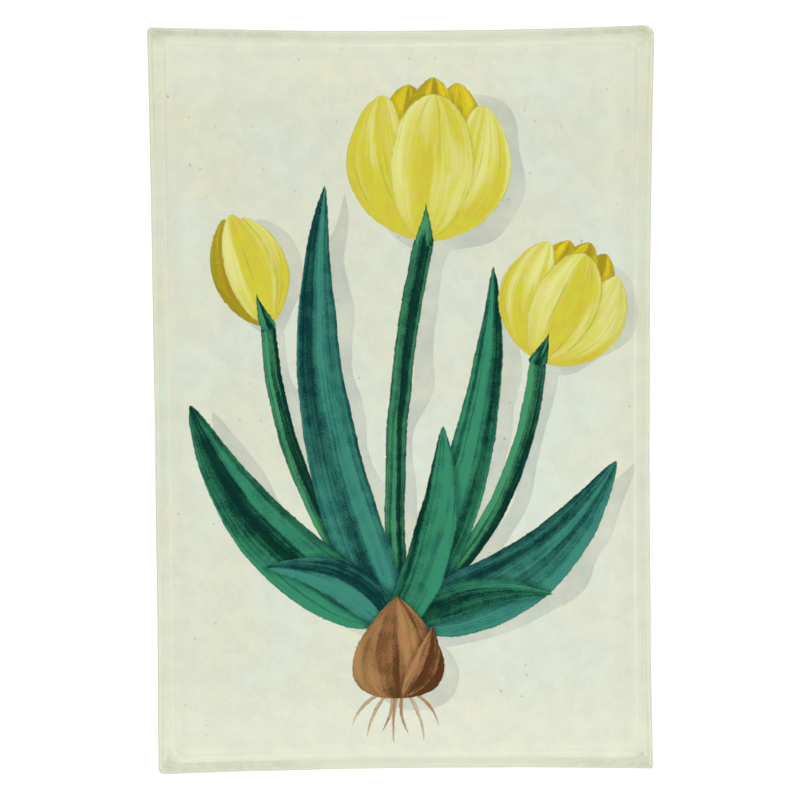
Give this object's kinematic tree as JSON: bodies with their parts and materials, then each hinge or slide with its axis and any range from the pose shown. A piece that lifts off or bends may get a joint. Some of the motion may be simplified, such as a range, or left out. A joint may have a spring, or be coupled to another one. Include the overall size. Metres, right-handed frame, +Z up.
{
  "type": "rectangular glass tray",
  "caption": "Shallow rectangular glass tray with a low sloping rim, a printed botanical paper glued under the glass, a sealed backing and felt feet.",
  "frame": {"origin": "centre of the tray on the surface that its feet stand on", "axes": "+Z up out of the tray, +Y along the long side towards the picture's top, +X to the picture's right"},
  "size_m": [0.2753, 0.4079, 0.0167],
  "materials": {
    "clear_glass": "clear polished glass with a ground rim",
    "printed_paper": "matt cream paper with a painted botanical print",
    "sealed_backing": "pale lining paper sealed with satin varnish",
    "felt": "pressed wool felt"
  },
  "bodies": {
    "root": {"glass_tray": "clear_glass", "printed_paper": "printed_paper", "sealed_backing": "sealed_backing", "felt_foot_1": "felt", "felt_foot_2": "felt", "felt_foot_3": "felt", "felt_foot_4": "felt"}
  },
  "joints": []
}
